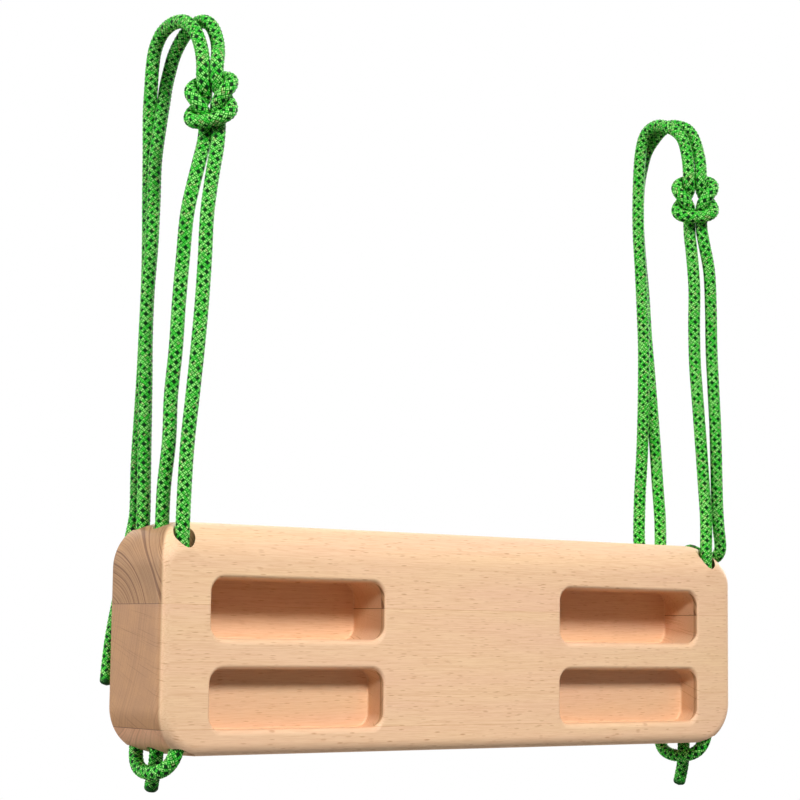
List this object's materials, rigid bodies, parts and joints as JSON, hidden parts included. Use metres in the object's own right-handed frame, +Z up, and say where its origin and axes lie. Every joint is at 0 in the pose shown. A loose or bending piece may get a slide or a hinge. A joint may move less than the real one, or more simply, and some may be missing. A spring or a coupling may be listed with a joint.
{
  "type": "hangboard",
  "caption": "Finger-training board: a glued beech block with deep and shallow finger pockets, hung from a bar by a knotted braided rope at each end.",
  "frame": {"origin": "on the axis of the bar that the ropes hang over, midway between the two ropes", "axes": "X along the board to its right-hand end, Y from its front face to its back, Z up"},
  "size_m": [0.443, 0.0811, 0.4524],
  "materials": {
    "beech": "oiled satin",
    "glue": "thin dark line of set wood glue",
    "rope": "braided synthetic, green with dark flecks"
  },
  "bodies": {
    "slings": {"left_upper_bight": "rope", "left_lower_bight": "rope", "right_upper_bight": "rope", "right_lower_bight": "rope"},
    "board": {"top_stave": "beech", "middle_stave": "beech", "bottom_stave": "beech", "glue_line_upper": "glue", "glue_line_lower": "glue", "left_turn": "rope", "left_tail": "rope", "left_free_end": "rope", "right_turn": "rope", "right_tail": "rope", "right_free_end": "rope"}
  },
  "joints": [
    {"name": "board_tilt", "type": "hinge", "parent": "slings", "child": "board", "pos_m": [0, -0.005, -0.261], "axis": [1, 0, 0], "range_deg": [-6, 6]}
  ]
}
